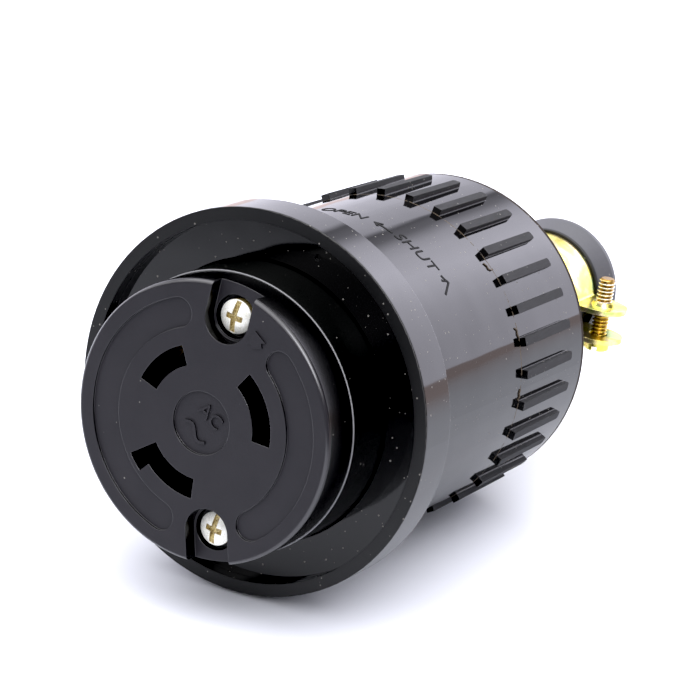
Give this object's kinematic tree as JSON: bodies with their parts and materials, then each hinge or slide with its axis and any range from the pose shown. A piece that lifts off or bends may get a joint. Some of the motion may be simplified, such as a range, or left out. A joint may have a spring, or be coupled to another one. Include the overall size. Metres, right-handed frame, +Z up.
{
  "type": "locking cord connector",
  "caption": "Round locking cord connector: slotted contact face, flanged shell with grip ribs, conical rear and a screwed cord clamp over a rubber bushing.",
  "frame": {"origin": "middle of the part's footprint on the surface that it lies on", "axes": "+Z up, face towards -Y and cord end towards +Y, with the axis sloping a little down to the cord end"},
  "size_m": [0.0738, 0.149, 0.0741],
  "materials": {
    "shell_plastic": "polished black moulding",
    "face_plastic": "matte dark grey moulding",
    "base_plastic": "matte black moulding",
    "contact_brass": "bare brass",
    "plate_steel": "plated steel",
    "terminal_brass": "bare brass",
    "earth_green": "green coated screw",
    "face_screw_gold": "bright pale yellow plating",
    "bushing_rubber": "satin black rubber",
    "clamp_chromate": "yellow chromate on steel"
  },
  "bodies": {
    "root": {"shell": "shell_plastic", "face_cover": "face_plastic", "contact_base": "base_plastic", "line_contact_x": "contact_brass", "line_contact_y": "contact_brass", "ground_contact": "contact_brass", "terminal_plate_x": "plate_steel", "terminal_plate_y": "plate_steel", "terminal_plate_g": "plate_steel", "terminal_screw_x": "terminal_brass", "terminal_screw_y": "terminal_brass", "terminal_screw_g": "earth_green", "face_screw_upper": "face_screw_gold", "face_screw_lower": "face_screw_gold", "threaded_insert_upper": "contact_brass", "threaded_insert_lower": "contact_brass", "cord_bushing": "bushing_rubber", "upper_saddle": "clamp_chromate", "lower_saddle": "clamp_chromate", "clamp_screw_right": "clamp_chromate", "clamp_screw_left": "clamp_chromate"}
  },
  "joints": []
}
